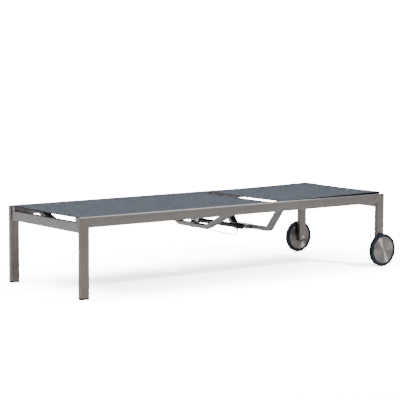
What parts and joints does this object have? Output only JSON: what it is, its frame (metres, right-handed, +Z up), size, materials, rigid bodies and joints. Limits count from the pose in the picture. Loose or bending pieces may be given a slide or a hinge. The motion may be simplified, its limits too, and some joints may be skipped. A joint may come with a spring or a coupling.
{
  "type": "reclining sun lounger",
  "caption": "Flat steel-framed sun lounger with a stretched mesh seat, a backrest that reclines on a cable-released locking strut, and wheels under its head end.",
  "frame": {"origin": "on the floor, under the middle of the lounger's length over the foot legs and wheels", "axes": "+X from the foot end to the head end, +Y to the side with the release lever, +Z up"},
  "size_m": [2.065, 0.738, 0.4109],
  "materials": {
    "frame_steel": "satin, brushed along each tube",
    "rail_steel": "satin, brushed along the rail",
    "disc_steel": "spun, with fine rings",
    "bolt_steel": "smooth turned steel",
    "rod_chrome": "polished",
    "sling_mesh": "coated mesh, fine open weave",
    "black_nylon": "moulded, fine grain",
    "buffer_rubber": "matt",
    "tyre_rubber": "matt, moulded",
    "strut_black": "satin black",
    "cable_sheath": "smooth ribbed sheath"
  },
  "bodies": {
    "frame": {"left_side_rail": "frame_steel", "right_side_rail": "frame_steel", "left_foot_leg": "frame_steel", "right_foot_leg": "frame_steel", "left_head_leg": "frame_steel", "right_head_leg": "frame_steel", "foot_cross_rail": "frame_steel", "head_cross_rail": "frame_steel", "left_seat_rail": "rail_steel", "right_seat_rail": "rail_steel", "seat_rail_spacers": "frame_steel", "seat_rail_plugs": "rail_steel", "seat_keder_rods": "black_nylon", "seat_sling": "sling_mesh", "front_spreader": "frame_steel", "middle_spreader": "frame_steel", "strut_member": "frame_steel", "strut_bracket": "frame_steel", "bracket_bolts": "bolt_steel", "strut_pin": "bolt_steel", "foot_glides": "black_nylon", "head_leg_caps": "black_nylon", "rest_buffers": "buffer_rubber", "hinge_pins": "bolt_steel", "axle_bolts": "bolt_steel", "axle_washers": "bolt_steel", "axle_nuts": "bolt_steel", "lever_bracket": "frame_steel", "lever_pin": "bolt_steel", "release_cable": "cable_sheath", "cable_clips": "black_nylon"},
    "release_lever": {"release_lever": "frame_steel", "lever_grip": "black_nylon"},
    "backrest": {"left_back_rail": "rail_steel", "right_back_rail": "rail_steel", "back_rail_plugs": "rail_steel", "hinge_blocks": "black_nylon", "hinge_bushes": "black_nylon", "head_bar": "rail_steel", "back_member": "frame_steel", "back_keder_rods": "black_nylon", "back_sling": "sling_mesh", "rod_bracket": "frame_steel", "rod_pin": "bolt_steel"},
    "strut_housing": {"strut_eye": "bolt_steel", "strut_tube": "strut_black", "release_head": "strut_black"},
    "strut_rod": {"strut_rod": "rod_chrome", "rod_eye": "bolt_steel"},
    "left_wheel": {"left_tyre": "tyre_rubber", "left_wheel_core": "black_nylon", "left_outer_disc": "disc_steel", "left_inner_disc": "disc_steel", "wheel_bushes_left": "black_nylon"},
    "right_wheel": {"right_tyre": "tyre_rubber", "right_wheel_core": "black_nylon", "right_outer_disc": "disc_steel", "right_inner_disc": "disc_steel", "wheel_bushes_right": "black_nylon"}
  },
  "joints": [
    {"name": "backrest_hinge", "type": "hinge", "parent": "frame", "child": "backrest", "pos_m": [0.2175, 0, 0.386], "axis": [0, -1, 0], "range_deg": [0, 60]},
    {"name": "strut_pivot", "type": "hinge", "parent": "frame", "child": "strut_housing", "pos_m": [-0.0925, 0, 0.297], "axis": [0, -1, 0], "range_deg": [0, 17], "deforming": ["release_cable"]},
    {"name": "rod_pivot", "type": "hinge", "parent": "backrest", "child": "strut_rod", "pos_m": [0.26398, 0, 0.22871], "axis": [0, -1, 0], "range_deg": [-44, 0]},
    {"name": "release_lever_hinge", "type": "hinge", "parent": "frame", "child": "release_lever", "pos_m": [-0.0295, 0.3275, 0.332], "axis": [0, -1, 0], "range_deg": [0, 9], "stiffness_Nm_per_rad": 3, "springref_deg": -5.73},
    {"name": "left_wheel_spin", "type": "hinge", "parent": "frame", "child": "left_wheel", "pos_m": [0.9425, -0.356, 0.09], "axis": [0, 1, 0], "continuous": true},
    {"name": "right_wheel_spin", "type": "hinge", "parent": "frame", "child": "right_wheel", "pos_m": [0.9425, 0.356, 0.09], "axis": [0, 1, 0], "continuous": true}
  ],
  "couplings": [
    {"joint": "strut_pivot", "follows": "backrest_hinge", "ratio": 0.275},
    {"joint": "rod_pivot", "follows": "backrest_hinge", "ratio": -0.725}
  ]
}
